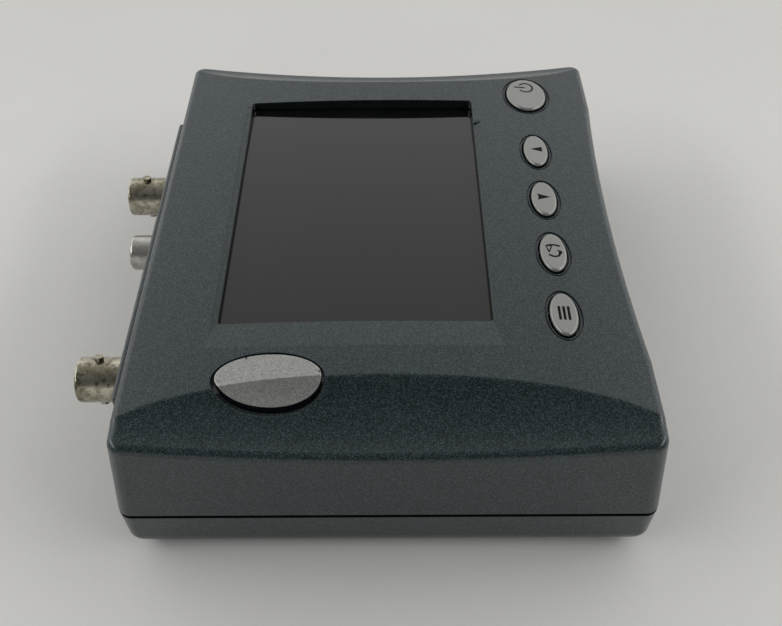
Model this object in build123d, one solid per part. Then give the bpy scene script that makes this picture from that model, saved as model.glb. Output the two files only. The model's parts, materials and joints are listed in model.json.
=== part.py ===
from build123d import *

import os
from math import cos, radians, sin, sqrt, tan

# Handheld video test monitor, lying on its back with the screen up.
# Origin: centre of the underside. +X towards the key side, +Y towards the far end, +Z out of the screen.
# All sizes are in millimetres.

# ---- case ----------------------------------------------------------------------------------------
BODY_WIDTH = 107.0            # along X, at the parting line
BODY_LENGTH = 123.4           # along Y, at the parting line
BODY_HEIGHT = 38.8            # at the highest point of the crowned top
CORNER_R = 2.9                # plan corners at the parting line
SEAM_Z = 13.95                # middle of the parting gap
SEAM_GAP = 1.0
UPPER_DRAFT = {"side": 5.0, "end": 3.2}    # degrees
LOWER_DRAFT = 3.0
BOTTOM_R = 6.0
WALL = 2.4
CROWN_R = 650.0               # the top is part of a cylinder about an axis along Y
WAIST_HALF = 41.0             # the key side is waisted between -41 and +41 in Y
WAIST_DEPTH = 1.7
LIP_Z = 32.45                 # lowest point of the front lip
VALLEY_R = 382.0              # each lip is a shallow valley across X
SCOOP_R = 19.7                # concave profile of the front and back scoops
FRONT_CREASE_Y = -46.1        # crease of the front scoop at X = 0
BACK_CREASE_Y = 49.5          # crease of the back scoop at X = 0
RIM_R = 1.6                   # rounding between the top and the walls
CREASE_R = 0.8
POST_TOP = 60.0               # posts run up into the ceiling, whatever its height
POST_JOINT_Z = 12.65          # where the upper and lower screw posts meet

# ---- screen --------------------------------------------------------------------------------------
SCREEN_X = -6.5
SCREEN_Y = 4.65
OPENING_W = 55.6
OPENING_L = 73.5
OPENING_R = 0.9
BEVEL_DEPTH = 0.5
BEVEL_LEFT = 3.4
BEVEL_RIGHT = 1.9
BEVEL_FRONT = 6.6
BEVEL_FADE = 16.0             # the side bevels run out over this length at the back
WINDOW_Z = 35.85              # top face of the window
WINDOW_T = 1.5
WINDOW_MARGIN = 2.1           # window beyond the opening, on each side
GASKET_T = 0.3
GASKET_W = 1.7
SEAT_WALL = 1.2               # rim inside the upper case that locates the window
PANEL_W = 62.0                # display module with its backlight
PANEL_L = 77.0
GLASS_T = 1.4
BACKLIGHT_T = 1.9
TRAY_WALL = 1.5
TRAY_FLOOR = 1.2
TRAY_LEDGE = 6.0
EAR_R = 3.0
EAR_T = 1.6
EAR_TOP = 31.0
RIBBON_W = 20.0
RIBBON_T = 0.3
RIBBON_Z = 31.2
RIBBON_Y = 47.6

# ---- keys ----------------------------------------------------------------------------------------
KEY_X = 35.6
SMALL_KEY = (5.75, 11.2)      # X and Y diameters of the oval
POWER_KEY = (10.0, 12.9)
POWER_KEY_Y = 44.1
SMALL_KEY_Y = {"left": 21.5, "right": 4.3, "rotate": -12.95, "menu": -30.5}
KEY_PROUD = 0.7
KEY_GAP = 0.4
KEY_EDGE_R = 0.55
COLLAR_W = 0.25               # low collar round each key hole
COLLAR_DROP = 0.12
GROOVE_W = 0.42               # groove round the collar
GROOVE_DEPTH = 0.55
FLANGE_W = 1.1
FLANGE_Z = (34.0, 34.8)
STEM_R = 2.0
PLUNGER_TOP = 33.0
PLUNGER_R = 1.6
PLUNGER_L = 1.6
SWITCH_SIDE = 6.0
SWITCH_TOP = 32.2
KEY_BOARD_TOP = 28.7
KEY_BOARD_X = (29.0, 45.2)
KEY_BOARD_Y = (-44.0, 50.5)
KEY_POSTS = [(KEY_X, 33.0), (42.8, -4.3), (KEY_X, -40.3)]

# ---- badge ---------------------------------------------------------------------------------------
BADGE_AT = (-22.75, -46.2)
BADGE_SIZE = (20.4, 10.3)     # X and Y diameters of the oval
BADGE_WELL_AT = (-22.85, -46.4)
BADGE_WELL = (21.9, 12.4)
BADGE_PROUD = 0.6
BADGE_T = 2.2
BADGE_EDGE_R = 0.25
BADGE_WELL_DEPTH = 1.6

# ---- connector panel -----------------------------------------------------------------------------
CONNECTOR_Y = -4.0            # middle of the panel
CONNECTOR_Z = 20.8
STRIP_L = 86.4
STRIP_Z = (8.6, 33.0)
STRIP_FACE_X = -53.7
STRIP_T = 3.0
STRIP_EDGE_R = 0.8
TONGUE_X = (-49.1, -47.9)     # tongues on the panel reach behind the case walls
TONGUE_REACH = 1.2
BNC_Y = {"front": CONNECTOR_Y - 29.15, "back": CONNECTOR_Y + 29.15}
BNC_TURN = {"front": -20, "back": -8}      # degrees by which the lugs lean from upright
BNC_R = 4.8
BNC_END_X = -65.3
BNC_BORE_R = 4.05
BNC_BORE_L = 9.0
BNC_LUG_X = -60.8
BNC_LUG_R = 1.0
BNC_LUG_REACH = 5.7
BNC_NECK_R = 5.6              # plain shoulder that passes through the panel
BNC_FLANGE_R = 6.6
BNC_FLANGE_X = -49.6
BNC_NUT_SIDE = 6.3
BNC_BLOCK = (13.0, 14.0, 14.0)
RCA_Y = 4.9
RCA_R = 4.15
RCA_END_X = -61.3
RCA_TIP_R = 1.7
DC_Y = -14.0
DC_Z = 20.3
DC_R = 4.0
DC_BORE_R = 2.85
DC_BORE_L = 9.5

# ---- boards, power and sound ---------------------------------------------------------------------
BOARD_TOP = 13.2
BOARD_T = 1.6
BOARD_X = (-47.5, 46.0)
BOARD_Y = (-50.0, 50.0)
BOARD_POSTS = [(-42.0, -45.0), (40.0, -22.0), (-42.0, 45.0), (40.0, 45.0)]
FLOOR_TOP = 2.4
CELL = (32.0, 56.0, 7.6)
CELL_X = 17.0
CELL_Y = 13.0
PAD_T = 0.8
SPEAKER_X = 22.0
SPEAKER_Y = -38.0
SPEAKER_R = 14.0
SCREW_X = 46.2
SCREW_Y = 54.6
SCREW_POST_R = 3.0
SCREW_HOLE_R = 1.0
SCREW_HEAD_R = 2.4
SCREW_SINK = 4.0


# ---- helpers -------------------------------------------------------------------------------------

def rod_x(radius, x0, x1, y, z):
    """Cylinder along X."""
    plane = Plane(origin=(min(x0, x1), y, z), x_dir=(0, 1, 0), z_dir=(1, 0, 0))
    return plane * extrude(Circle(radius), abs(x1 - x0))


def rod_z(radius, z0, z1, x, y):
    """Cylinder along Z."""
    return Pos(x, y, z0) * extrude(Circle(radius), z1 - z0)


def block(x_range, y_range, z_range):
    """Box between two corners."""
    (x0, x1), (y0, y1), (z0, z1) = x_range, y_range, z_range
    return Pos((x0 + x1) / 2, (y0 + y1) / 2, (z0 + z1) / 2) * Box(x1 - x0, y1 - y0, z1 - z0)


def slab(centre, size, z_range):
    """Box with its plan centre and plan size given."""
    (x, y), (w, l) = centre, size
    return block((x - w / 2, x + w / 2), (y - l / 2, y + l / 2), z_range)


def oval(size, x, y, z_range, grow=0.0):
    """Upright prism on an oval of the given X and Y diameters."""
    z0, z1 = z_range
    return Pos(x, y, z0) * extrude(Ellipse(size[0] / 2 + grow, size[1] / 2 + grow), z1 - z0)


def grouped(solids):
    """Several separate solids as one part."""
    return Compound(children=[s for solid in solids for s in solid.solids()])


def crown_z(x):
    """Height of the crowned top."""
    return BODY_HEIGHT - x * x / (2 * CROWN_R)


def key_list():
    """Name, oval size and Y of each key."""
    small = [(name, SMALL_KEY, y) for name, y in SMALL_KEY_Y.items()]
    return [("power", POWER_KEY, POWER_KEY_Y)] + small


def tray_posts():
    """Places where the display tray is screwed to the upper case."""
    reach_front = SCREEN_Y - PANEL_L / 2 - TRAY_WALL - EAR_R
    reach_back = SCREEN_Y + PANEL_L / 2 + TRAY_WALL + EAR_R - 0.4
    return [(x, y) for x in (-32.0, 18.0) for y in (reach_front, reach_back)]


def case_screw_places():
    return [(sx * SCREW_X, sy * SCREW_Y) for sx in (-1, 1) for sy in (-1, 1)]


def screw_z(x, y, z_head, length, thread_r, head_r, head_h):
    """Pan-head screw that points up from z_head, with a slot across its head."""
    screw = rod_z(head_r, z_head, z_head + head_h, x, y)
    screw += rod_z(thread_r, z_head + head_h, z_head + head_h + length, x, y)
    return screw - slab((x, y), (head_r * 1.4, head_r * 0.3), (z_head - 1, z_head + head_h * 0.5))


# ---- case envelope -------------------------------------------------------------------------------

def plan_face(inset, draft=(0, 0)):
    """Plan outline of the case at the parting line, moved in by inset and by a further draft in X and Y."""
    half_w = BODY_WIDTH / 2 - inset - draft[0]
    half_l = BODY_LENGTH / 2 - inset - draft[1]
    outline = Polyline(
        (half_w, WAIST_HALF),
        (half_w, half_l),
        (-half_w, half_l),
        (-half_w, -half_l),
        (half_w, -half_l),
        (half_w, -WAIST_HALF),
    )
    outline += ThreePointArc((half_w, -WAIST_HALF), (half_w - WAIST_DEPTH, 0), (half_w, WAIST_HALF))
    face = make_face(outline)
    corners = [v for v in face.vertices() if abs(v.Y) > half_l - 1]
    return fillet(corners, max(CORNER_R - inset, 1.0))


def upper_walls(inset, z0, height=BODY_HEIGHT):
    """Upper case as a prism from z0 up, with more draft on its sides than on its ends."""
    draft = [height * tan(radians(UPPER_DRAFT[wall])) for wall in ("side", "end")]
    return loft([Pos(0, 0, z0) * plan_face(inset), Pos(0, 0, z0 + height) * plan_face(inset, draft)], ruled=True)


def lower_walls(inset, z0, z1, bottom_r):
    """Drafted prism of the lower case, from z1 down to z0, with a rounded bottom edge."""
    face = Pos(0, 0, z1) * plan_face(inset)
    prism = extrude(face, z1 - z0, dir=(0, 0, -1), taper=LOWER_DRAFT)
    bottom = prism.faces().sort_by(Axis.Z)[0]
    return fillet(bottom.edges(), bottom_r)


def under_crown(shift):
    """Everything under the crowned top, moved up by shift, cut to a block a little larger than the case."""
    start = Plane(origin=(0, -70, BODY_HEIGHT + shift - CROWN_R), x_dir=(1, 0, 0), z_dir=(0, 1, 0))
    return (start * extrude(Circle(CROWN_R), 140)) & Box(BODY_WIDTH + 2.5, 140, 2 * BODY_HEIGHT + 20)


def scoop(crease_y, direction, shift):
    """Space above a scoop: a concave arc down from the crease to a level lip, bent round a shallow valley."""
    foot_z = LIP_Z + shift
    drop = BODY_HEIGHT - LIP_Z
    foot_y = crease_y + direction * sqrt(2 * SCOOP_R * drop - drop * drop)
    sweep = radians(75)

    def on_arc(turn):
        return (0, foot_y - direction * SCOOP_R * sin(turn), foot_z + SCOOP_R * (1 - cos(turn)))

    head = on_arc(sweep)
    far_y = direction * 90
    lid_z = head[2] + 10
    profile = Polyline(head, (0, head[1], lid_z), (0, far_y, lid_z), (0, far_y, foot_z), on_arc(0))
    profile += ThreePointArc(on_arc(0), on_arc(sweep / 2), head)
    return revolve(make_face(profile), Axis((0, 0, foot_z + VALLEY_R), (0, 1, 0)), 360)


def under_skin(shift):
    """Everything under the whole top surface, moved up by shift."""
    return under_crown(shift) - scoop(FRONT_CREASE_Y, -1, shift) - scoop(BACK_CREASE_Y, 1, shift)


def rim_edges(body):
    """Edges between a wall and the top surface."""
    tilts = [(face, face.normal_at(face.center()).Z) for face in body.faces()]
    walls = [edge for face, tilt in tilts if abs(tilt) < 0.3 for edge in face.edges()]
    tops = [edge for face, tilt in tilts if tilt > 0.5 for edge in face.edges()]
    return [edge for edge in tops if any(edge.is_same(other) for other in walls)]


def upper_outside():
    """Outside of the upper case, with its creases and rim rounded."""
    skin = under_skin(0)
    ridge = BODY_HEIGHT - 1
    creases = [e for e in skin.edges() if e.length > 90 and e.center().Z > ridge and abs(e.center().Y) < 56]
    body = upper_walls(0, SEAM_Z + SEAM_GAP / 2) & fillet(creases, CREASE_R)
    return fillet(rim_edges(body), RIM_R)


# ---- cuts in the upper case ----------------------------------------------------------------------

def bevel_side(x_rim, x_outer):
    """Space above the bevel that runs along Y, from x_outer down to the opening at x_rim and on past it."""
    low = crown_z(x_rim) - BEVEL_DEPTH
    slope = (crown_z(x_outer) - low) / (x_outer - x_rim)
    far = x_rim + (x_rim - x_outer) * 30
    lid = BODY_HEIGHT + 5
    outline = Polyline(
        (x_outer, 70, lid),
        (x_outer, 70, crown_z(x_outer)),
        (far, 70, low + slope * (far - x_rim)),
        (far, 70, lid),
        close=True,
    )
    return extrude(make_face(outline), amount=140, dir=(0, -1, 0))


def bevel_end(y_outer, run):
    """Space above the bevel that runs along X: the crown's own arc, pushed in along Y and down."""
    half = 60
    lid = BODY_HEIGHT + 5
    ends = [(-half, y_outer, crown_z(half)), (half, y_outer, crown_z(half))]
    outline = ThreePointArc(ends[0], (0, y_outer, BODY_HEIGHT), ends[1])
    outline += Polyline(ends[1], (half, y_outer, lid), (-half, y_outer, lid), ends[0])
    return extrude(make_face(outline), amount=90, dir=Vector(0, run, -BEVEL_DEPTH).normalized())


def bevel():
    """Shallow bevel in front of the screen opening and down its sides, running out at the back corners."""
    x0 = SCREEN_X - OPENING_W / 2
    x1 = SCREEN_X + OPENING_W / 2
    y0 = SCREEN_Y - OPENING_L / 2
    y1 = SCREEN_Y + OPENING_L / 2
    sides = bevel_side(x0, x0 - BEVEL_LEFT) & bevel_side(x1, x1 + BEVEL_RIGHT)
    return sides & bevel_end(y0 - BEVEL_FRONT, BEVEL_FRONT) & bevel_end(y1, -BEVEL_FADE)


def key_wells():
    """Oval holes for the keys, each with a low collar round it and a narrow groove outside the collar."""
    z_range = (FLANGE_Z[0], BODY_HEIGHT + 2)
    collar_top = under_skin(-COLLAR_DROP)
    groove_floor = under_skin(-GROOVE_DEPTH)
    cuts = []
    for _, size, y in key_list():
        hole = oval(size, KEY_X, y, z_range, KEY_GAP)
        collar = oval(size, KEY_X, y, z_range, KEY_GAP + COLLAR_W)
        groove = oval(size, KEY_X, y, z_range, KEY_GAP + COLLAR_W + GROOVE_W) - collar
        cuts += [hole, collar - collar_top, groove - groove_floor]
    return cuts


def badge_well():
    """Oval well whose floor follows the folded skin."""
    return oval(BADGE_WELL, *BADGE_WELL_AT, (25, BODY_HEIGHT + 2)) - under_skin(-BADGE_WELL_DEPTH)


def strip_space(grow):
    """Space in the side wall for the connector panel."""
    half = STRIP_L / 2 + grow
    z0, z1 = STRIP_Z
    return block((STRIP_FACE_X - 5, -46.0), (CONNECTOR_Y - half, CONNECTOR_Y + half), (z0 - grow, z1 + grow))


def make_top_shell():
    posts = [rod_z(2.0, KEY_BOARD_TOP, POST_TOP, x, y) for x, y in KEY_POSTS]
    posts += [rod_z(2.2, EAR_TOP, POST_TOP, x, y) for x, y in tray_posts()]
    posts += [rod_z(SCREW_POST_R, 0, POST_TOP, x, y) for x, y in case_screw_places()]
    cavity = upper_walls(WALL, SEAM_Z - 1) & under_skin(-WALL)
    rebate = Pos(0, 0, SEAM_Z - 1) * extrude(plan_face(WALL / 2), 3.4)
    inside = cavity + rebate
    for post in posts:
        inside -= post
    reach = 2 * WINDOW_MARGIN + 0.4
    seat_size = (OPENING_W + reach, OPENING_L + reach)
    rim_size = (seat_size[0] + 2 * SEAT_WALL, seat_size[1] + 2 * SEAT_WALL)
    inside -= slab((SCREEN_X, SCREEN_Y), rim_size, (WINDOW_Z - WINDOW_T, POST_TOP))
    shell = upper_outside() - inside
    for x, y in case_screw_places():
        shell += rod_z(SCREW_POST_R, POST_JOINT_Z, SEAM_Z + 1, x, y)
    shell -= bevel()
    shell -= Pos(SCREEN_X, SCREEN_Y, 25) * extrude(RectangleRounded(OPENING_W, OPENING_L, OPENING_R), 20)
    shell -= slab((SCREEN_X, SCREEN_Y), seat_size, (25, WINDOW_Z + GASKET_T))
    for cut in key_wells():
        shell -= cut
    shell -= badge_well()
    shell -= strip_space(0.1)
    for x, y in KEY_POSTS:
        shell -= rod_z(0.8, KEY_BOARD_TOP - 1, KEY_BOARD_TOP + 4.5, x, y)
    for x, y in tray_posts():
        shell -= rod_z(0.8, EAR_TOP - 1, EAR_TOP + 2.6, x, y)
    for x, y in case_screw_places():
        shell -= rod_z(SCREW_HOLE_R, POST_JOINT_Z - 1, SEAM_Z + 13, x, y)
    return shell


def make_bottom_shell():
    top = SEAM_Z - SEAM_GAP / 2
    shell = lower_walls(0, 0, top, BOTTOM_R)
    cavity = lower_walls(WALL, FLOOR_TOP, top, BOTTOM_R - WALL)
    for x, y in case_screw_places():
        cavity -= rod_z(SCREW_POST_R + 0.6, 0, top, x, y)
    for x, y in BOARD_POSTS:
        cavity -= rod_z(2.5, 0, BOARD_TOP - BOARD_T, x, y)
    ring_r = SPEAKER_R + 0.2
    cavity -= rod_z(ring_r + 1.2, 0, 6.0, SPEAKER_X, SPEAKER_Y) - rod_z(ring_r, 0, 6.0, SPEAKER_X, SPEAKER_Y)
    shell -= cavity
    tongue = extrude(plan_face(WALL / 2 + 0.15), 2.9) - extrude(plan_face(WALL - 0.1), 2.9)
    shell += Pos(0, 0, top - 0.6) * tongue
    shell -= strip_space(0.1)
    for x, y in BOARD_POSTS:
        shell -= rod_z(0.8, BOARD_TOP - BOARD_T - 6, BOARD_TOP, x, y)
    for x, y in case_screw_places():
        shell -= rod_z(SCREW_HOLE_R + 0.25, -1, top + 1, x, y)
        shell -= rod_z(SCREW_HEAD_R + 0.3, -1, SCREW_SINK, x, y)
        shell -= rod_z(SCREW_POST_R + 0.15, POST_JOINT_Z, top + 6, x, y)
    for i in range(-3, 4):
        half = sqrt((SPEAKER_R - 3) ** 2 - (i * 3.2) ** 2)
        slot = SlotOverall(2 * half, 1.4, rotation=90)
        shell -= Pos(SPEAKER_X + i * 3.2, SPEAKER_Y, -1) * extrude(slot, FLOOR_TOP + 2)
    return shell


# ---- screen --------------------------------------------------------------------------------------

def make_window():
    size = (OPENING_W + 2 * WINDOW_MARGIN, OPENING_L + 2 * WINDOW_MARGIN)
    plate = Pos(SCREEN_X, SCREEN_Y, WINDOW_Z - WINDOW_T) * extrude(RectangleRounded(*size, 1.0), WINDOW_T)
    return chamfer(plate.faces().sort_by(Axis.Z)[-1].edges(), 0.15)


def make_gasket():
    w = OPENING_W + 2 * WINDOW_MARGIN
    l = OPENING_L + 2 * WINDOW_MARGIN
    ring = RectangleRounded(w, l, 1.0) - RectangleRounded(w - 2 * GASKET_W, l - 2 * GASKET_W, 0.8)
    return Pos(SCREEN_X, SCREEN_Y, WINDOW_Z) * extrude(ring, GASKET_T)


def glass_range():
    """Z range of the display glass, just under the window."""
    top = WINDOW_Z - WINDOW_T - 0.2
    return top - GLASS_T, top


def make_display_panel():
    """Two sheets of glass, the lower one longer where the ribbon joins."""
    z0, z1 = glass_range()
    middle = (z0 + z1) / 2
    lower = slab((SCREEN_X, SCREEN_Y), (PANEL_W, PANEL_L), (z0, middle))
    return lower + slab((SCREEN_X, SCREEN_Y - 1.2), (PANEL_W - 2, PANEL_L - 4.4), (middle, z1))


def make_backlight():
    """Light guide in a thin frame."""
    z1 = glass_range()[0]
    z0 = z1 - BACKLIGHT_T
    plate = slab((SCREEN_X, SCREEN_Y), (PANEL_W, PANEL_L), (z0, z1))
    hollow = slab((SCREEN_X, SCREEN_Y), (PANEL_W - 6, PANEL_L - 6), (z0, z0 + 0.4))
    return plate - hollow


def make_tray():
    """Open tray that holds the display up against the window, with four screw ears."""
    z1 = glass_range()[1]
    z0 = glass_range()[0] - BACKLIGHT_T - TRAY_FLOOR
    centre = (SCREEN_X, SCREEN_Y)
    outer = (PANEL_W + 2 * TRAY_WALL, PANEL_L + 2 * TRAY_WALL)
    tray = slab(centre, outer, (z0, z1))
    for x, y in tray_posts():
        inward = 1 if y < SCREEN_Y else -1
        ear = rod_z(EAR_R, EAR_TOP - EAR_T, EAR_TOP, x, y)
        neck = (EAR_R * 2, EAR_R + 0.6)
        tray += ear + slab((x, y + inward * neck[1] / 2), neck, (EAR_TOP - EAR_T, EAR_TOP))
    tray -= slab(centre, (PANEL_W, PANEL_L), (z0 + TRAY_FLOOR, z1 + 1))
    tray -= slab(centre, (PANEL_W - 2 * TRAY_LEDGE, PANEL_L - 2 * TRAY_LEDGE), (z0 - 1, z1))
    for x, y in tray_posts():
        tray -= rod_z(1.0, EAR_TOP - 3, EAR_TOP + 1, x, y)
    slot = (RIBBON_Z - 0.3, RIBBON_Z + 0.5)
    edge = SCREEN_Y + PANEL_L / 2
    return tray - slab((SCREEN_X, edge + 1), (RIBBON_W + 1, 4), slot)


def make_ribbon():
    """Flexible strip: out of the display, down past the tray, and forward into its socket."""
    edge = SCREEN_Y + PANEL_L / 2
    low = BOARD_TOP + 0.8
    t = RIBBON_T
    outline = Polyline(
        (0, edge, RIBBON_Z),
        (0, RIBBON_Y, RIBBON_Z),
        (0, RIBBON_Y, low),
        (0, 43.0, low),
        (0, 43.0, low + t),
        (0, RIBBON_Y - t, low + t),
        (0, RIBBON_Y - t, RIBBON_Z - t),
        (0, edge, RIBBON_Z - t),
        close=True,
    )
    return Pos(SCREEN_X - RIBBON_W / 2, 0, 0) * extrude(make_face(outline), amount=RIBBON_W, dir=(1, 0, 0))


def make_ribbon_socket():
    body = block((SCREEN_X - 11.5, SCREEN_X + 11.5), (39.2, 43.0), (BOARD_TOP, BOARD_TOP + 2.2))
    latch = block((SCREEN_X - 11.0, SCREEN_X + 11.0), (39.8, 40.8), (BOARD_TOP + 2.2, BOARD_TOP + 2.7))
    return body + latch


# ---- keys ----------------------------------------------------------------------------------------

def make_key(size, y):
    """Oval cap that follows the crown, with a retaining flange and a stem down to its switch."""
    slice_z = (FLANGE_Z[0], BODY_HEIGHT + 3)
    cap = oval(size, KEY_X, y, slice_z) & under_crown(KEY_PROUD)
    rim = [e for e in cap.edges() if e.center().Z > BODY_HEIGHT - 3]
    cap = fillet(rim, KEY_EDGE_R)
    cap += oval(size, KEY_X, y, FLANGE_Z, FLANGE_W)
    return cap + rod_z(STEM_R, PLUNGER_TOP, FLANGE_Z[0], KEY_X, y)


def make_switch(y):
    """Tactile switch: moulded body with a bore for its plunger, and four legs."""
    half = SWITCH_SIDE / 2
    body = block((KEY_X - half, KEY_X + half), (y - half, y + half), (KEY_BOARD_TOP, SWITCH_TOP))
    body = fillet(body.edges().filter_by(Axis.Z), 0.4)
    for sx in (-1, 1):
        for sy in (-1, 1):
            x0 = KEY_X + sx * (half + 0.35)
            body += slab((x0, y + sy * 2.25), (0.7, 0.7), (KEY_BOARD_TOP, KEY_BOARD_TOP + 1.4))
    return body - rod_z(PLUNGER_R + 0.15, PLUNGER_TOP - PLUNGER_L - 1.0, SWITCH_TOP + 1, KEY_X, y)


def make_plunger(y):
    pin = rod_z(PLUNGER_R, PLUNGER_TOP - PLUNGER_L, PLUNGER_TOP, KEY_X, y)
    return chamfer(pin.edges().sort_by(Axis.Z)[0], 0.2)


def make_key_board():
    board = block(KEY_BOARD_X, KEY_BOARD_Y, (KEY_BOARD_TOP - BOARD_T, KEY_BOARD_TOP))
    for x, y in KEY_POSTS:
        board -= rod_z(1.1, 20, 40, x, y)
    return board


# ---- badge ---------------------------------------------------------------------------------------

def make_badge():
    """Plate folded over the crease, standing a little above the skin."""
    plate = under_skin(BADGE_PROUD) - under_skin(BADGE_PROUD - BADGE_T)
    plate &= oval(BADGE_SIZE, *BADGE_AT, (25, BODY_HEIGHT + 3))
    return fillet(rim_edges(plate), BADGE_EDGE_R)


# ---- connector panel -----------------------------------------------------------------------------

def make_strip():
    """Raised panel with holes for the sockets; its tongues sit behind the case walls."""
    half = STRIP_L / 2
    z0, z1 = STRIP_Z
    back_x = STRIP_FACE_X + STRIP_T
    plate = block((STRIP_FACE_X, back_x), (CONNECTOR_Y - half, CONNECTOR_Y + half), (z0, z1))
    outer = [e for e in plate.edges() if e.center().X < STRIP_FACE_X + 0.01]
    plate = fillet(outer, STRIP_EDGE_R)
    for edge_z, way in ((z0, -1), (z1, 1)):
        y_range = (CONNECTOR_Y - half + 6, CONNECTOR_Y + half - 6)
        web = sorted((edge_z, edge_z - way * 1.5))
        tongue = sorted((edge_z + way * TONGUE_REACH, edge_z - way * 1.5))
        plate += block((back_x, TONGUE_X[1]), y_range, web)
        plate += block(TONGUE_X, y_range, tongue)
    for y in BNC_Y.values():
        plate -= rod_x(BNC_NECK_R, STRIP_FACE_X - 1, back_x + 1, y, CONNECTOR_Z)
    plate -= rod_x(RCA_R + 0.6, STRIP_FACE_X - 1, back_x + 1, RCA_Y, CONNECTOR_Z)
    return plate - rod_x(DC_R + 0.1, STRIP_FACE_X - 1, back_x + 1, DC_Y, DC_Z)


def make_bnc_shell(y, turn):
    """Barrel with two bayonet lugs, a shoulder through the panel and a flange behind it."""
    z = CONNECTOR_Z
    back_x = STRIP_FACE_X + STRIP_T
    barrel = rod_x(BNC_R, BNC_END_X, STRIP_FACE_X, y, z)
    end = [e for e in barrel.edges() if abs(e.center().X - BNC_END_X) < 0.01]
    shell = fillet(end, 0.5)
    shell += rod_x(BNC_NECK_R, STRIP_FACE_X - 0.4, back_x, y, z)
    shell += rod_x(BNC_R, back_x, BNC_FLANGE_X + 5.0, y, z)
    lug = Plane(origin=(BNC_LUG_X, y, z - BNC_LUG_REACH)) * extrude(Circle(BNC_LUG_R), 2 * BNC_LUG_REACH)
    shell += lug.rotate(Axis((BNC_LUG_X, y, z), (1, 0, 0)), turn)
    shell -= rod_x(BNC_BORE_R, BNC_END_X - 1, BNC_END_X + BNC_BORE_L, y, z)
    return shell - rod_x(2.6, BNC_END_X, -40, y, z)


def make_bnc_insulator(y):
    """Dielectric: a plug in the barrel with a sleeve round the centre contact."""
    floor_x = BNC_END_X + BNC_BORE_L
    plug = rod_x(2.6, floor_x, BNC_FLANGE_X + 5.0, y, CONNECTOR_Z)
    sleeve = rod_x(2.35, BNC_END_X + 1.2, floor_x, y, CONNECTOR_Z)
    return plug + sleeve - rod_x(1.1, BNC_END_X, -30, y, CONNECTOR_Z)


def make_bnc_contact(y):
    pin = rod_x(1.1, BNC_END_X + 1.6, BNC_FLANGE_X + 6.0, y, CONNECTOR_Z)
    return pin - rod_x(0.5, BNC_END_X, BNC_END_X + 6, y, CONNECTOR_Z)


def make_bnc_housing(y):
    """Moulded block behind the nut, standing on the main board."""
    depth, width, height = BNC_BLOCK
    x0 = BNC_FLANGE_X + 5.0
    body = block((x0, x0 + depth), (y - width / 2, y + width / 2), (BOARD_TOP, BOARD_TOP + height))
    return body - rod_x(1.1, x0 - 1, x0 + 1.0, y, CONNECTOR_Z)


def make_nuts():
    """One hexagon nut on each BNC, behind the panel."""
    nuts = []
    for y in BNC_Y.values():
        plane = Plane(origin=(BNC_FLANGE_X - 0.2, y, CONNECTOR_Z), x_dir=(0, 1, 0), z_dir=(1, 0, 0))
        hexagon = RegularPolygon(BNC_NUT_SIDE, 6, major_radius=False)
        nut = plane * extrude(hexagon, 2.2)
        nuts.append(nut - rod_x(BNC_R, -60, -40, y, CONNECTOR_Z))
    return grouped(nuts)


def make_washers():
    """One plain washer between each nut and the panel."""
    washers = []
    for y in BNC_Y.values():
        ring = rod_x(BNC_FLANGE_R, STRIP_FACE_X + STRIP_T, BNC_FLANGE_X - 0.2, y, CONNECTOR_Z)
        washers.append(ring - rod_x(BNC_R, -60, -40, y, CONNECTOR_Z))
    return grouped(washers)


def make_rca_shell():
    """Phono barrel with a rounded open end and a flange behind the panel."""
    back_x = STRIP_FACE_X + STRIP_T
    barrel = rod_x(RCA_R, RCA_END_X, back_x, RCA_Y, CONNECTOR_Z)
    end = [e for e in barrel.edges() if abs(e.center().X - RCA_END_X) < 0.01]
    shell = fillet(end, 0.8)
    shell += rod_x(RCA_R + 0.6, STRIP_FACE_X - 0.3, back_x, RCA_Y, CONNECTOR_Z)
    shell += rod_x(6.0, back_x, back_x + 0.8, RCA_Y, CONNECTOR_Z)
    return shell - rod_x(3.3, RCA_END_X - 1, back_x + 2, RCA_Y, CONNECTOR_Z)


def make_rca_insulator():
    """Plastic sleeve inside the phono barrel, with its block behind the panel."""
    back_x = STRIP_FACE_X + STRIP_T
    sleeve = rod_x(3.3, RCA_END_X + 0.6, back_x + 0.8, RCA_Y, CONNECTOR_Z)
    body = block((back_x + 0.8, back_x + 12), (RCA_Y - 5, RCA_Y + 5), (BOARD_TOP, CONNECTOR_Z + 5.5))
    return sleeve + body - rod_x(2.0, RCA_END_X, back_x + 4, RCA_Y, CONNECTOR_Z)


def make_rca_contact():
    """Thin sleeve that grips the plug's pin."""
    back_x = STRIP_FACE_X + STRIP_T
    sleeve = rod_x(2.0, RCA_END_X + 1.2, back_x + 4, RCA_Y, CONNECTOR_Z)
    return sleeve - rod_x(RCA_TIP_R, RCA_END_X, back_x + 3, RCA_Y, CONNECTOR_Z)


def make_dc_jack():
    """Flush charging socket."""
    back_x = STRIP_FACE_X + STRIP_T
    jack = rod_x(DC_R, STRIP_FACE_X + 0.2, back_x, DC_Y, DC_Z)
    jack += block((back_x, back_x + 11), (DC_Y - 4.5, DC_Y + 4.5), (BOARD_TOP, DC_Z + 5))
    return jack - rod_x(DC_BORE_R, STRIP_FACE_X - 1, STRIP_FACE_X + DC_BORE_L, DC_Y, DC_Z)


def make_dc_pin():
    pin = rod_x(1.0, STRIP_FACE_X + 1.2, STRIP_FACE_X + DC_BORE_L, DC_Y, DC_Z)
    end = [e for e in pin.edges() if abs(e.center().X - STRIP_FACE_X - 1.2) < 0.01]
    return fillet(end, 0.4)


# ---- boards, power and sound ---------------------------------------------------------------------

def make_main_board():
    board = block(BOARD_X, BOARD_Y, (BOARD_TOP - BOARD_T, BOARD_TOP))
    for x, y in BOARD_POSTS:
        board -= rod_z(1.1, 0, 20, x, y)
    return board


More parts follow.
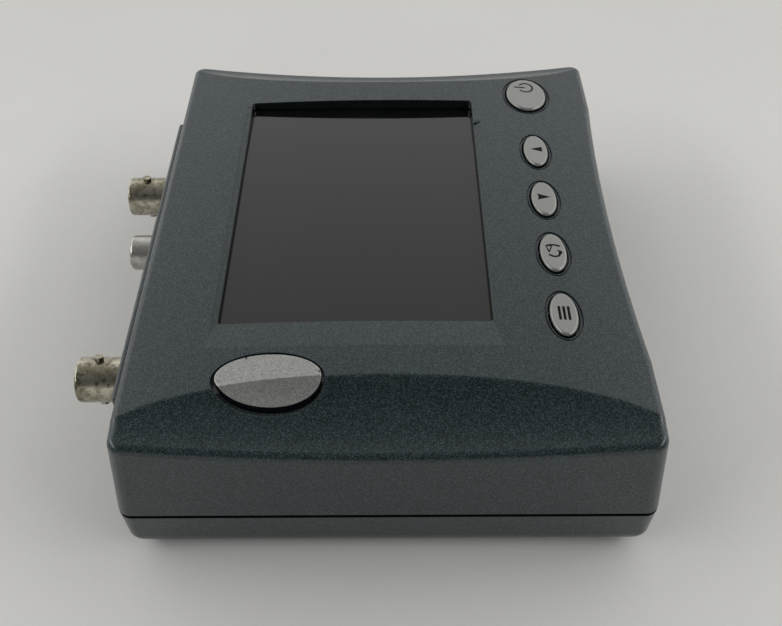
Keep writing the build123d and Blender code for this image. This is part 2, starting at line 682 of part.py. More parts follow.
def make_board_components():
    """Chips, coils, capacitors and a crystal can on the main board."""
    z = BOARD_TOP
    chips = [slab(at, size, (z, z + h)) for at, size, h in (
        ((-6, 12), (16, 16), 1.6),
        ((16, -6), (12, 12), 1.6),
        ((-22, -22), (10, 8), 1.5),
        ((14, 22), (18, 9), 1.4),
        ((-20, 28), (6, 5), 1.2),
        ((2, -24), (8, 8), 4.0),
    )]
    cans = [rod_z(r, z, z + h, x, y) for x, y, r, h in (
        (-30, -44.5, 3.2, 8.0),
        (-22, -44.5, 3.2, 8.0),
        (-14, -44.5, 2.6, 6.0),
        (30, 4, 2.6, 6.0),
        (30, 14, 2.6, 6.0),
    )]
    return grouped(chips + cans)


def make_header():
    """Pin header and socket that join the key board to the main board."""
    x_range = (41.0, 44.0)
    y_range = (8.0, 24.0)
    joint_z = BOARD_TOP + 6.5
    high = KEY_BOARD_TOP - BOARD_T
    pins = block((42.1, 42.9), (9.0, 23.0), (joint_z, high - 2.5))
    return block(x_range, y_range, (BOARD_TOP, joint_z)) + pins + block(x_range, y_range, (high - 2.5, high))


def make_cells():
    """Two flat rechargeable cells side by side."""
    z0 = FLOOR_TOP + PAD_T
    cells = []
    for sx in (-1, 1):
        cell = slab((sx * CELL_X, CELL_Y), CELL[:2], (z0, z0 + CELL[2]))
        cells.append(fillet(cell.edges().filter_by(Axis.Y), 2.0))
    return grouped(cells)


def make_pads():
    """Two adhesive strips under each cell."""
    z_range = (FLOOR_TOP, FLOOR_TOP + PAD_T)
    return grouped([slab((sx * CELL_X, CELL_Y + y), (24, 8), z_range) for sx in (-1, 1) for y in (-18, 18)])


def make_speaker_frame():
    z0 = FLOOR_TOP
    frame = rod_z(SPEAKER_R, z0, z0 + 1.4, SPEAKER_X, SPEAKER_Y)
    frame += rod_z(SPEAKER_R - 3.5, z0 + 1.4, z0 + 4.0, SPEAKER_X, SPEAKER_Y)
    return frame - rod_z(SPEAKER_R - 4.5, z0 - 1, z0 + 3.2, SPEAKER_X, SPEAKER_Y)


def make_speaker_cone():
    """Thin dished cone, open side down."""
    x, y, z = SPEAKER_X, SPEAKER_Y, FLOOR_TOP + 0.4
    outer = Pos(x, y, z) * extrude(Circle(SPEAKER_R - 4.6), 2.2, taper=55)
    inner = Pos(x, y, z - 0.3) * extrude(Circle(SPEAKER_R - 4.6), 2.2, taper=55)
    return outer - inner


def make_speaker_magnet():
    z0 = FLOOR_TOP + 4.0
    return rod_z(7.0, z0, z0 + 3.6, SPEAKER_X, SPEAKER_Y)


# ---- screws --------------------------------------------------------------------------------------

def make_case_screws():
    head_h = 1.8
    head_z = SCREW_SINK - head_h
    places = case_screw_places()
    return grouped([screw_z(x, y, head_z, 16, SCREW_HOLE_R, SCREW_HEAD_R, head_h) for x, y in places])


def make_board_screws():
    """Screws from above, through the main board into its posts."""
    screws = []
    for x, y in BOARD_POSTS:
        head = rod_z(1.9, BOARD_TOP, BOARD_TOP + 1.3, x, y)
        head -= slab((x, y), (2.8, 0.5), (BOARD_TOP + 0.7, BOARD_TOP + 2))
        screws.append(head + rod_z(0.8, BOARD_TOP - 6, BOARD_TOP, x, y))
    return grouped(screws)


def make_tray_screws():
    return grouped([screw_z(x, y, EAR_TOP - EAR_T - 1.2, 4.0, 0.8, 1.8, 1.2) for x, y in tray_posts()])


def make_key_board_screws():
    head_z = KEY_BOARD_TOP - BOARD_T - 1.2
    return grouped([screw_z(x, y, head_z, 5.8, 0.8, 1.7, 1.2) for x, y in KEY_POSTS])


# ---- all nodes -----------------------------------------------------------------------------------

def make_nodes():
    nodes = {
        "top_shell": make_top_shell(),
        "bottom_shell": make_bottom_shell(),
        "connector_panel": make_strip(),
        "display_window": make_window(),
        "window_gasket": make_gasket(),
        "display_panel": make_display_panel(),
        "display_backlight": make_backlight(),
        "display_tray": make_tray(),
        "display_ribbon": make_ribbon(),
        "ribbon_socket": make_ribbon_socket(),
        "badge_plate": make_badge(),
        "main_board": make_main_board(),
        "board_components": make_board_components(),
        "key_board": make_key_board(),
        "board_header": make_header(),
        "bnc_nuts": make_nuts(),
        "bnc_washers": make_washers(),
        "phono_shell": make_rca_shell(),
        "phono_insulator": make_rca_insulator(),
        "phono_contact": make_rca_contact(),
        "charge_jack": make_dc_jack(),
        "charge_pin": make_dc_pin(),
        "battery_cells": make_cells(),
        "battery_pads": make_pads(),
        "speaker_frame": make_speaker_frame(),
        "speaker_cone": make_speaker_cone(),
        "speaker_magnet": make_speaker_magnet(),
        "case_screws": make_case_screws(),
        "board_screws": make_board_screws(),
        "tray_screws": make_tray_screws(),
        "key_board_screws": make_key_board_screws(),
    }
    for name, y in BNC_Y.items():
        nodes[f"bnc_{name}_shell"] = make_bnc_shell(y, BNC_TURN[name])
        nodes[f"bnc_{name}_insulator"] = make_bnc_insulator(y)
        nodes[f"bnc_{name}_contact"] = make_bnc_contact(y)
        nodes[f"bnc_{name}_housing"] = make_bnc_housing(y)
    for name, size, y in key_list():
        nodes[f"{name}_key"] = make_key(size, y)
        nodes[f"{name}_switch"] = make_switch(y)
        nodes[f"{name}_plunger"] = make_plunger(y)
    return nodes


os.makedirs("parts", exist_ok=True)
for node, shape in make_nodes().items():
    export_step(shape, f"parts/{node}.step")
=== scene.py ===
import json
from math import cos, pi, radians, sin

import bmesh
import bpy
from mathutils import Matrix, Vector
from mathutils.bvhtree import BVHTree


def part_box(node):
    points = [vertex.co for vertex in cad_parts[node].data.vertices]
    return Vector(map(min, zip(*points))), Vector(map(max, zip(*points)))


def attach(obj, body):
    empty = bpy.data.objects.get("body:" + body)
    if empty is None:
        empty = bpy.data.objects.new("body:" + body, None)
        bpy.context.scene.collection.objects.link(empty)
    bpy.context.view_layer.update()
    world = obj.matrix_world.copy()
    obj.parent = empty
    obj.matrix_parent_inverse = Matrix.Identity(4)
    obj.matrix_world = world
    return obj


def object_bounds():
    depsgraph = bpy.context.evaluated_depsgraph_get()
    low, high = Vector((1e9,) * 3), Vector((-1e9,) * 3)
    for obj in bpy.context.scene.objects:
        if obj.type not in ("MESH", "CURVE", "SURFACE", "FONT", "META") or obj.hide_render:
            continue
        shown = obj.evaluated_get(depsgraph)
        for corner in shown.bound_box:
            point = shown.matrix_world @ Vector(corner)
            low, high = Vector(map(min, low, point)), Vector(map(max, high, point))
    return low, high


# Looks of the handheld video test monitor. Metres throughout; MM turns millimetres into metres.
MM = 0.001

# camera
CAMERA_PLACE = Vector((0.746, -156.64, 182.84)) * MM
CAMERA_PITCH = radians(45.06)
CAMERA_ROLL = -0.00485        # radians
CAMERA_LENS = 43.73           # millimetres, as is the sensor's width
CAMERA_SENSOR = 36
CAMERA_SHIFT_Y = -0.0794

# room
LAMP_PLACE = (1.16, -0.30, 0.90)    # the right lamp; the left one mirrors it
LAMP_AIM = (0, 0, 0.03)
LAMP_SIZE = (1.10, 0.22)
LAMP_POWER = 4.2
FLOOR_REACH = 3.0

# Degrees and brightness along an arc over the object, from the horizon behind it to the one in front.
ROOM_ARC = (
    (0, 0.50), (17, 0.72), (30, 0.95), (37, 0.90), (50, 0.66), (60, 0.50),
    (75, 0.30), (90, 0.20), (134, 0.10), (155, 0.15), (168, 0.45), (180, 0.70),
)

# From SIDE_START to SIDE_FULL, as a share of the direction's length, the arc gives way to the room's sides.
SIDE_START = 0.25
SIDE_FULL = 0.60

# surface details
BEVEL_SEEN = 0.20 * MM        # rounding of the case's edges in its shading
COARSE_FLAKES = 3900          # cells per metre, here and in the next four
FINE_FLAKES = 7600
COATING_FLAKES = 5200
CASE_DUST = 210
WINDOW_DUST = 160
KEY_SHADE = 0.30
BADGE_SHADE = 0.36
OPENING_SHADE = 0.75           # how dark the painted shade on the walls of the screen opening is
WINDOW_OVERLAP = 2.0 * MM     # the window reaches 2.1 mm under the case, so this takes in the opening's walls
INK_ABOVE = 0.02 * MM         # printed marks stand this far above a key, and reach INK_BELOW into it
INK_BELOW = 0.01 * MM

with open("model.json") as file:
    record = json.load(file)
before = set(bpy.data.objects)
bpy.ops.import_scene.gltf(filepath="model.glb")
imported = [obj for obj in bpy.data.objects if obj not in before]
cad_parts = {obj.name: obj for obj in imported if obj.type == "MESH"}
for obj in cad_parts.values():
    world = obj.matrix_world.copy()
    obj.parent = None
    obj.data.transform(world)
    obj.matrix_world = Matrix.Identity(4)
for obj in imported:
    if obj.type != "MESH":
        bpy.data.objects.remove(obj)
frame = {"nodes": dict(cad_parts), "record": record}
nodes = frame["nodes"]
cad_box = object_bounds()


# ---- camera ---------------------------------------------------------------------------------------

def make_camera():
    """A camera in front of the object, looking down at about 45 degrees."""
    right = Vector((1, 0, 0))
    up = Vector((0, sin(CAMERA_PITCH), cos(CAMERA_PITCH)))
    ahead = Vector((0, cos(CAMERA_PITCH), -sin(CAMERA_PITCH)))
    turned_right = right * cos(CAMERA_ROLL) + up * sin(CAMERA_ROLL)
    turned_up = up * cos(CAMERA_ROLL) - right * sin(CAMERA_ROLL)
    axes = Matrix((turned_right, turned_up, -ahead)).transposed()
    data = bpy.data.cameras.new("camera")
    data.sensor_width = CAMERA_SENSOR
    data.lens = CAMERA_LENS
    data.shift_y = CAMERA_SHIFT_Y
    data.clip_start = 0.01
    camera = bpy.data.objects.new("camera", data)
    camera.matrix_world = Matrix.Translation(CAMERA_PLACE) @ axes.to_4x4()
    bpy.context.scene.collection.objects.link(camera)
    bpy.context.scene.camera = camera


# ---- node graphs ----------------------------------------------------------------------------------

class Graph:
    """A material's node tree, with short calls for the nodes used here."""

    def __init__(self, name, tree=None):
        if tree is None:
            self.material = bpy.data.materials.new(name)
            self.material.use_nodes = True
            tree = self.material.node_tree
            self.shader = tree.nodes["Principled BSDF"]
        self.tree = tree

    def add(self, kind, settings=None, **inputs):
        node = self.tree.nodes.new("ShaderNode" + kind)
        for key, value in (settings or {}).items():
            setattr(node, key, value)
        for key, value in inputs.items():
            self.put(node.inputs[key.replace("_", " ")], value)
        return node

    def put(self, socket, value):
        if isinstance(value, bpy.types.NodeSocket):
            self.tree.links.new(value, socket)
        else:
            socket.default_value = value

    def place(self):
        """Position on the object, in metres."""
        return self.add("TexCoord").outputs["Object"]

    def noise(self, scale, detail=3.0, roughness=0.5, vector=None):
        node = self.add("TexNoise", Scale=scale, Detail=detail, Roughness=roughness)
        self.put(node.inputs["Vector"], vector or self.place())
        return node.outputs["Fac"]

    def cells(self, scale):
        """A random number for each small cell."""
        node = self.add("TexVoronoi", Scale=scale, Vector=self.place())
        split = self.add("SeparateColor", Color=node.outputs["Color"])
        return split.outputs["Red"]

    def spread(self, value, low, high, to_low=0.0, to_high=1.0):
        """value from low..high, stretched to to_low..to_high and held there."""
        node = self.add("MapRange", Value=value)
        for key, number in (("From Min", low), ("From Max", high), ("To Min", to_low), ("To Max", to_high)):
            self.put(node.inputs[key], number)
        return node.outputs["Result"]

    def maths(self, operation, a, b=0.0):
        node = self.add("Math", {"operation": operation})
        self.put(node.inputs[0], a)
        self.put(node.inputs[1], b)
        return node.outputs[0]

    def mix(self, factor, a, b):
        node = self.add("Mix", {"data_type": "RGBA"})
        self.put(node.inputs[0], factor)
        self.put(node.inputs[6], a)
        self.put(node.inputs[7], b)
        return node.outputs[2]

    def bump(self, height, strength, depth, normal=None):
        node = self.add("Bump", Height=height, Strength=strength, Distance=depth)
        if normal is not None:
            self.put(node.inputs["Normal"], normal)
        return node.outputs["Normal"]

    def finish(self, color, roughness, normal=None, **constants):
        """Links the shader's colour, roughness and normal, and sets its constant sockets."""
        self.put(self.shader.inputs["Base Color"], color)
        self.put(self.shader.inputs["Roughness"], roughness)
        if normal is not None:
            self.put(self.shader.inputs["Normal"], normal)
        for key, value in constants.items():
            self.shader.inputs[key.replace("_", " ")].default_value = value
        return self.material


def rgb(r, g, b):
    return (r, g, b, 1.0)


# ---- materials ------------------------------------------------------------------------------------

def case_paint():
    """Blue-grey paint full of fine flakes with painted glints, painted highlights along its edges, and
    painted near-black shade inside the case and in its seams.
    """
    g = Graph("case_paint")
    coarse = g.cells(COARSE_FLAKES)
    fine = g.cells(FINE_FLAKES)
    grain = g.maths("ADD", g.maths("MULTIPLY", coarse, 0.55), g.maths("MULTIPLY", fine, 0.45))
    tone = g.mix(g.spread(grain, 0.22, 0.95), rgb(0.001, 0.005, 0.007), rgb(0.009, 0.026, 0.030))
    tint = g.mix(g.spread(g.noise(45, 4), 0.35, 0.65), rgb(0.010, 0.024, 0.031), rgb(0.017, 0.029, 0.032))
    # Painted sparkle: the flakes are real, but the brightest of them are lightened in the colour to stand in
    # for their glints.
    painted_glint = g.maths("MAXIMUM", g.spread(fine, 0.70, 0.95), g.spread(coarse, 0.80, 0.98, 0.0, 0.4))
    color = g.mix(painted_glint, g.mix(0.15, tone, tint), rgb(0.056, 0.082, 0.090))
    geometry = g.add("NewGeometry")
    up = g.add("SeparateXYZ", Vector=geometry.outputs["Normal"]).outputs["Z"]
    dots = g.add("TexVoronoi", Scale=CASE_DUST, Vector=g.place())
    rare = g.maths("GREATER_THAN", g.cells(CASE_DUST), 0.93)
    dust = g.maths("MULTIPLY", g.spread(dots.outputs["Distance"], 0.035, 0.02), g.spread(up, 0.6, 0.9))
    color = g.mix(g.maths("MULTIPLY", g.maths("MULTIPLY", dust, rare), 0.4), color, rgb(0.30, 0.30, 0.28))
    soft_edges = g.add("Bevel", {"samples": 4}, Radius=BEVEL_SEEN).outputs["Normal"]
    turn = g.add("VectorMath", {"operation": "DOT_PRODUCT"})
    g.put(turn.inputs[0], soft_edges)
    g.put(turn.inputs[1], geometry.outputs["True Normal"])
    # Painted highlight: every edge of the case, concave ones too, is lightened where the rounded shading
    # normal turns from the true one.
    painted_edge_highlight = g.spread(turn.outputs["Value"], 0.985, 0.90, 0.0, 0.35)
    color = g.mix(painted_edge_highlight, color, rgb(0.12, 0.14, 0.14))
    # Painted shade: near-black on level faces inside the case, on the parting ledges and on the walls of the
    # screen opening.
    color = g.mix(painted_shade_inside(g, up), color, rgb(0.006, 0.007, 0.008))
    rough = g.spread(g.noise(120, 3), 0.3, 0.7, 0.21, 0.27)
    peel = g.bump(g.noise(1400, 2), 0.04, 0.04 * MM, soft_edges)
    normal = g.bump(grain, 0.18, 0.012 * MM, peel)
    return g.finish(color, rough, normal, IOR=1.58)


def painted_shade_inside(g, up):
    """Mask of painted shade, near-black: one on level faces inside the case and on the parting ledges, and
    partly on the walls of the screen opening and on everything straight below it, the underside included."""
    spot = g.add("SeparateXYZ", Vector=g.place())
    middle_z = (cad_box[0][2] + cad_box[1][2]) / 2
    low_half = g.maths("LESS_THAN", spot.outputs["Z"], middle_z)
    ledge = g.maths("MULTIPLY", g.maths("GREATER_THAN", up, 0.9), low_half)
    off_table = g.maths("GREATER_THAN", spot.outputs["Z"], MM)
    ceiling = g.maths("MULTIPLY", g.maths("LESS_THAN", up, -0.9), off_table)
    low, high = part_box("display_window")
    inside = []
    for axis, a, b in (("X", low.x, high.x), ("Y", low.y, high.y)):
        away = g.maths("ABSOLUTE", g.maths("SUBTRACT", spot.outputs[axis], (a + b) / 2))
        inside.append(g.maths("LESS_THAN", away, (b - a) / 2 - WINDOW_OVERLAP))
    opening = g.maths("MULTIPLY", g.maths("MULTIPLY", inside[0], inside[1]), OPENING_SHADE)
    return g.maths("MAXIMUM", g.maths("MAXIMUM", ledge, ceiling), opening)


def silver_coat(name, shade, speckle, chips=()):
    """Satin silver coating on top, painted near-black shade on the steep sides, and a few chips down to the
    black plastic.
    """
    g = Graph(name)
    grain = g.cells(COATING_FLAKES)
    cloud = g.noise(160, 3)
    low, high = shade * (1 - speckle), shade * (1 + speckle)
    base = g.mix(grain, rgb(low, low, low * 0.97), rgb(high, high, high * 0.97))
    worn = shade * 0.86
    color = g.mix(g.spread(cloud, 0.4, 0.75, 0.0, 0.4), base, rgb(worn, worn, worn * 0.95))
    up = g.add("SeparateXYZ", Vector=g.add("NewGeometry").outputs["Normal"]).outputs["Z"]
    # Painted shade: the steep sides go near-black, as the side walls of a key or of the badge lie in shadow
    # in the gap around it; the chips below are real wear.
    shaded_sides_and_chips = g.spread(up, 0.16, 0.06)
    ragged = g.noise(2600, 3, 0.6)
    for place, size in chips:
        gap = g.add("VectorMath", {"operation": "DISTANCE"})
        g.put(gap.inputs[0], g.place())
        gap.inputs[1].default_value = place
        near = g.spread(gap.outputs["Value"], size, 0.2 * size)
        shaded_sides_and_chips = g.maths("MAXIMUM", shaded_sides_and_chips, g.maths("GREATER_THAN", g.maths("MULTIPLY", near, ragged), 0.30))
    color = g.mix(shaded_sides_and_chips, color, rgb(0.007, 0.008, 0.009))
    metallic = g.spread(shaded_sides_and_chips, 0.0, 1.0, 0.5, 0.0)
    g.put(g.shader.inputs["Metallic"], metallic)
    rough = g.spread(g.noise(420, 3), 0.3, 0.7, 0.19, 0.25)
    return g.finish(color, rough, g.bump(grain, 0.12, 0.010 * MM))


def window_glass():
    """Glossy dark window with faint smears and dust."""
    g = Graph("window_glass")
    smear = g.noise(38, 5, 0.6)
    fine = g.noise(220, 4, 0.6)
    color = g.mix(smear, rgb(0.003, 0.0035, 0.0035), rgb(0.006, 0.0065, 0.0065))
    dots = g.add("TexVoronoi", Scale=WINDOW_DUST, Vector=g.place())
    rare = g.maths("GREATER_THAN", g.cells(WINDOW_DUST), 0.95)
    dust = g.maths("MULTIPLY", g.spread(dots.outputs["Distance"], 0.022, 0.012), rare)
    color = g.mix(g.maths("MULTIPLY", dust, 0.3), color, rgb(0.3, 0.3, 0.29))
    rough = g.spread(g.maths("MULTIPLY", smear, fine), 0.15, 0.40, 0.05, 0.12)
    normal = g.bump(fine, 0.03, 0.01 * MM)
    return g.finish(color, rough, normal, IOR=1.5, Coat_Weight=0.3, Coat_Roughness=0.06)


def black_plastic(name="black_plastic", low=0.012, high=0.022):
    """Moulded black plastic with a spark-eroded grain."""
    g = Graph(name)
    grain = g.noise(2600, 3, 0.6)
    patch = g.noise(90, 3)
    color = g.mix(patch, rgb(low, low, low * 1.08), rgb(high, high, high * 1.05))
    rough = g.spread(patch, 0.3, 0.7, 0.48, 0.62)
    return g.finish(color, rough, g.bump(grain, 0.35, 0.03 * MM))


def nickel(name, light, dark, rough_low, rough_high, blots):
    """Nickel plating, turned, mottled with tarnish."""
    g = Graph(name)
    place = g.place()
    stretched = g.add("Mapping", Vector=place, Scale=(1.0, 0.08, 0.08)).outputs["Vector"]
    turned = g.noise(9000, 2, vector=stretched)
    dirt = g.noise(330, 5, 0.65)
    blot = g.noise(900, 4, 0.6)
    clean = g.mix(turned, rgb(*[c * 0.88 for c in light]), rgb(*light))
    stained = g.mix(g.spread(dirt, 0.44, 0.60), clean, rgb(*dark))
    color = g.mix(g.spread(blot, 0.55, 0.64, 0.0, blots), stained, rgb(*[c * 0.35 for c in dark]))
    rough = g.spread(dirt, 0.35, 0.65, rough_low, rough_high)
    normal = g.bump(turned, 0.12, 0.01 * MM, g.bump(dirt, 0.2, 0.02 * MM))
    return g.finish(color, rough, normal, Metallic=1.0)


def plain_grain(name, low, high, rough_low, rough_high, scale, metallic=0.0, depth=0.02):
    """Mottled base with a fine grain, for the inside pieces."""
    g = Graph(name)
    patch = g.noise(scale, 4)
    fine = g.noise(scale * 14, 3, 0.6)
    rough = g.spread(fine, 0.3, 0.7, rough_low, rough_high)
    return g.finish(g.mix(patch, low, high), rough, g.bump(fine, 0.3, depth * MM), Metallic=metallic)


def circuit_board():
    """Green solder mask with tracks showing through."""
    g = Graph("circuit_board")
    place = g.place()
    tracks = g.add("TexBrick", {"offset": 0.37, "squash": 0.6}, Scale=260, Vector=place)
    tracks.inputs["Mortar Size"].default_value = 0.06
    color = g.mix(tracks.outputs["Fac"], rgb(0.012, 0.085, 0.035), rgb(0.03, 0.16, 0.06))
    rough = g.spread(g.noise(300), 0.3, 0.7, 0.25, 0.4)
    return g.finish(color, rough, g.bump(tracks.outputs["Fac"], 0.2, 0.03 * MM))


def ink(name="ink", shade=0.0015):
    """Printing ink with a slightly uneven cover."""
    g = Graph(name)
    patch = g.noise(2500, 3)
    color = g.mix(patch, rgb(shade, shade, shade), rgb(shade * 1.8, shade * 1.8, shade * 1.8))
    return g.finish(color, g.spread(patch, 0.3, 0.7, 0.4, 0.55), IOR=1.2)


def table_top():
    """Pale matt table with faint mottling."""
    g = Graph("table_top")
    cloud = g.noise(9, 4, 0.55)
    fine = g.noise(420, 4, 0.6)
    color = g.mix(g.spread(cloud, 0.3, 0.7), rgb(0.775, 0.765, 0.745), rgb(0.815, 0.805, 0.785))
    color = g.mix(g.spread(fine, 0.3, 0.7, 0.0, 0.10), color, rgb(0.68, 0.67, 0.65))
    return g.finish(color, g.spread(fine, 0.3, 0.7, 0.5, 0.6), g.bump(fine, 0.06, 0.1 * MM))


# ---- assigning ------------------------------------------------------------------------------------

def paint_nodes():
    """Every CAD node gets a material with its own detail."""
    black = black_plastic()
    metal = nickel("nickel", (0.56, 0.53, 0.43), (0.27, 0.245, 0.18), 0.12, 0.26, 0.7)
    clean_metal = nickel("nickel_clean", (0.60, 0.59, 0.56), (0.42, 0.41, 0.38), 0.24, 0.36, 0.25)
    pale = plain_grain("pale_plastic", rgb(0.60, 0.59, 0.54), rgb(0.70, 0.69, 0.64), 0.35, 0.5, 200)
    pressed = plain_grain("pressed_metal", rgb(0.45, 0.45, 0.46), rgb(0.6, 0.6, 0.6), 0.3, 0.5, 150, 0.9)
    foam = plain_grain("black_foam", rgb(0.01, 0.01, 0.01), rgb(0.03, 0.03, 0.03), 0.8, 0.95, 400, 0, 0.15)
    gold = plain_grain("gold_contact", rgb(0.60, 0.42, 0.14), rgb(0.75, 0.55, 0.22), 0.2, 0.35, 500, 1.0)
    steel = plain_grain("dark_steel", rgb(0.05, 0.05, 0.055), rgb(0.11, 0.11, 0.11), 0.35, 0.55, 500, 0.9)
    chips = plain_grain("chip_plastic", rgb(0.02, 0.02, 0.02), rgb(0.04, 0.04, 0.042), 0.45, 0.6, 400)
    special = {
        "case_paint": case_paint(),
        "black_plastic": black,
        "window_glass": window_glass(),
        "display_glass": black_plastic("display_glass", 0.006, 0.010),
        "pale_plastic": pale,
        "pressed_metal": pressed,
        "magnet_iron": steel,
        "black_foam": foam,
        "silver_key": silver_coat("silver_key", KEY_SHADE, 0.04),
        "circuit_board": circuit_board(),
        "chip_plastic": chips,
        "nickel": metal,
        "gold_contact": gold,
        "dark_steel": steel,
    }
    for part in frame["record"]["subparts"]:
        piece = nodes[part["node"]]
        piece.data.materials.clear()
        piece.data.materials.append(special[part["material_slot"]])
    nodes["phono_shell"].data.materials[0] = clean_metal
    low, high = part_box("badge_plate")
    crease_y = low.y * 0.47 + high.y * 0.53
    worn_spots = (
        ((low.x + 0.9 * MM, crease_y - 0.9 * MM, high.z - 1.7 * MM), 1.7 * MM),
        ((low.x + 1.8 * MM, crease_y - 1.6 * MM, high.z - 2.2 * MM), 1.2 * MM),
        ((high.x - 0.3 * MM, crease_y + 0.3 * MM, high.z - 0.6 * MM), 1.2 * MM),
        ((low.x + 5.6 * MM, high.y - 0.7 * MM, high.z), 1.1 * MM),
    )
    nodes["badge_plate"].data.materials[0] = silver_coat("silver_badge", BADGE_SHADE, 0.30, worn_spots)


# ---- printed marks on the keys --------------------------------------------------------------------

def top_finder(piece):
    """A function that gives the height of a piece's top over a point."""
    mesh = piece.data
    tree = BVHTree.FromPolygons([v.co for v in mesh.vertices], [p.vertices for p in mesh.polygons])
    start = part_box(piece.name)[1].z + 10 * MM

    def height(x, y):
        return tree.ray_cast(Vector((x, y, start)), Vector((0, 0, -1)))[0].z

    return height


def band(points, width):
    """Outline of a stroke of the given width along a line of points."""
    left, right = [], []
    for i, (x, y) in enumerate(points):
        before, after = points[max(i - 1, 0)], points[min(i + 1, len(points) - 1)]
        along = (Vector(after) - Vector(before)).normalized()
        side = Vector((-along.y, along.x)) * width / 2
        left.append((x + side.x, y + side.y))
        right.append((x - side.x, y - side.y))
    return left + right[::-1]


def arc(middle, radius, start, end, steps=40):
    """Points on an arc between two angles in degrees."""
    angles = [radians(start + (end - start) * i / steps) for i in range(steps + 1)]
    return [(middle[0] + radius * cos(a), middle[1] + radius * sin(a)) for a in angles]


def curve_through(a, b, c, steps=12):
    """Points on a smooth curve from a to c that passes b half way."""
    a, b, c = Vector(a), Vector(b), Vector(c)
    pull = 2 * b - (a + c) / 2
    ts = [i / steps for i in range(steps + 1)]
    return [tuple((1 - t) ** 2 * a + 2 * t * (1 - t) * pull + t * t * c) for t in ts]


def printed(key, outlines, material):
    """Thin printed shapes on a key's top, each from a closed outline in millimetres from the key's middle."""
    piece_key = nodes[f"{key}_key"]
    low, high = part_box(piece_key.name)
    middle = (low + high) / 2
    height = top_finder(piece_key)
    mesh = bmesh.new()
    for outline in outlines:
        spots = [(middle.x + x * MM, middle.y + y * MM) for x, y in outline]
        tops = [height(x, y) for x, y in spots]
        lower = [mesh.verts.new((x, y, z - INK_BELOW)) for (x, y), z in zip(spots, tops)]
        upper = [mesh.verts.new((x, y, z + INK_ABOVE)) for (x, y), z in zip(spots, tops)]
        mesh.faces.new(upper)
        mesh.faces.new(lower[::-1])
        for i in range(len(outline)):
            j = (i + 1) % len(outline)
            mesh.faces.new((lower[i], lower[j], upper[j], upper[i]))
    bmesh.ops.recalc_face_normals(mesh, faces=mesh.faces)
    name = f"{key}_mark"
    data = bpy.data.meshes.new(name)
    mesh.to_mesh(data)
    mesh.free()
    data.materials.append(material)
    piece = bpy.data.objects.new(name, data)
    bpy.context.scene.collection.objects.link(piece)
    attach(piece, f"{key}_button")


def print_marks():
    """Power symbol, two arrowheads, a pair of turning arrows and a three-bar menu symbol."""
    black = ink()
    faded = ink("faded_ink", 0.020)
    thick, medium, thin = 0.48, 0.45, 0.26
    ring = band(arc((0.1, 2.7), 1.8, -145, 145), thick)
    printed("power", [ring, band([(-2.8, 2.85), (-0.05, 2.7)], thick)], faded)
    printed("left", [[(-1.3, 0.2), (1.5, -0.7), (1.5, 1.1)]], black)
    printed("right", [[(-1.45, -0.75), (1.5, 0.25), (-1.45, 1.25), (-1.25, 0.28)]], black)
    upper = band(curve_through((1.57, 1.58), (0.2, 1.95), (-1.1, 1.75)), medium)
    lower = band(curve_through((-1.1, -0.95), (0.1, -1.55), (1.2, -1.1)), medium)
    hollow = [(-1.45, 1.75), (-0.25, 1.55), (-1.0, -0.3)]
    sides = [band([hollow[i], hollow[(i + 1) % 3]], thin) for i in range(3)]
    head = [(0.75, 0.45), (1.75, 0.15), (1.85, -0.4), (1.3, -1.2), (0.95, -0.9), (1.1, -0.2)]
    printed("rotate", [upper, lower, head] + sides, black)
    half, end = 0.27, 1.8
    printed("menu", [
        [(x - half, -end), (x + half, -end), (x + half, end), (x - half, end)] for x in (-0.95, 0.0, 0.95)
    ], black)


# ---- surroundings ---------------------------------------------------------------------------------

def make_floor(material):
    data = bpy.data.meshes.new("table_top")
    reach = FLOOR_REACH
    corners = [(-reach, -reach, 0), (reach, -reach, 0), (reach, reach, 0), (-reach, reach, 0)]
    data.from_pydata(corners, [], [(0, 1, 2, 3)])
    data.materials.append(material)
    floor = bpy.data.objects.new("table_top", data)
    bpy.context.scene.collection.objects.link(floor)


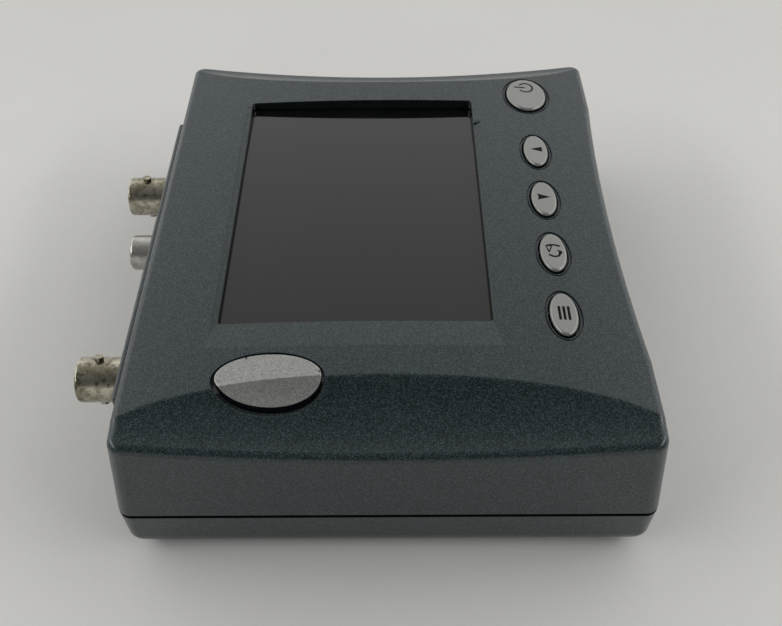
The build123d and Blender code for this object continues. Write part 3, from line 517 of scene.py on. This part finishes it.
def make_lamps():
    """A long soft lamp on each side, a little in front, for the bright lines along the rounded edges."""
    for name, side in (("left_lamp", -1), ("right_lamp", 1)):
        data = bpy.data.lights.new(name, "AREA")
        data.shape = "RECTANGLE"
        data.size, data.size_y = LAMP_SIZE
        data.energy = LAMP_POWER
        lamp = bpy.data.objects.new(name, data)
        x, y, z = LAMP_PLACE
        lamp.location = (side * x, y, z)
        lamp.rotation_mode = "QUATERNION"
        lamp.rotation_quaternion = (Vector(LAMP_AIM) - Vector((side * x, y, z))).to_track_quat("-Z", "Y")
        bpy.context.scene.collection.objects.link(lamp)


def make_world():
    """A room with bright sides and back, and a dark band from the front over the top."""
    world = bpy.data.worlds.new("room")
    world.use_nodes = True
    bpy.context.scene.world = world
    g = Graph("room", world.node_tree)
    axes = g.add("SeparateXYZ", Vector=g.add("TexCoord").outputs["Generated"]).outputs
    around = g.maths("ARCTAN2", axes["Z"], axes["Y"])
    ramp = g.add("ValToRGB", Fac=g.maths("DIVIDE", around, pi))
    band_stops = ramp.color_ramp.elements
    while len(band_stops) < len(ROOM_ARC):
        band_stops.new(0.5)
    for stop, (degrees, level) in zip(band_stops, ROOM_ARC):
        stop.position = degrees / 180
        stop.color = rgb(level, level, level)
    sideways = g.add("MapRange", {"interpolation_type": "SMOOTHSTEP"})
    g.put(sideways.inputs["Value"], g.maths("ABSOLUTE", axes["X"]))
    sideways.inputs["From Min"].default_value = SIDE_START
    sideways.inputs["From Max"].default_value = SIDE_FULL
    back_sides = g.spread(axes["Y"], -0.20, 0.20, 0.0, 0.85)
    front_sides = g.spread(axes["Y"], -0.90, -0.20, 0.10, 0.35)
    sides = g.maths("ADD", front_sides, back_sides)
    level = g.mix(sideways.outputs["Result"], ramp.outputs["Color"], sides)
    background = world.node_tree.nodes["Background"]
    background.inputs["Color"].default_value = rgb(1.0, 1.0, 0.985)
    g.put(background.inputs["Strength"], level)


# ---- everything -----------------------------------------------------------------------------------

bpy.context.scene.view_settings.view_transform = "Standard"
make_camera()
paint_nodes()
print_marks()
make_world()
make_floor(table_top())
make_lamps()
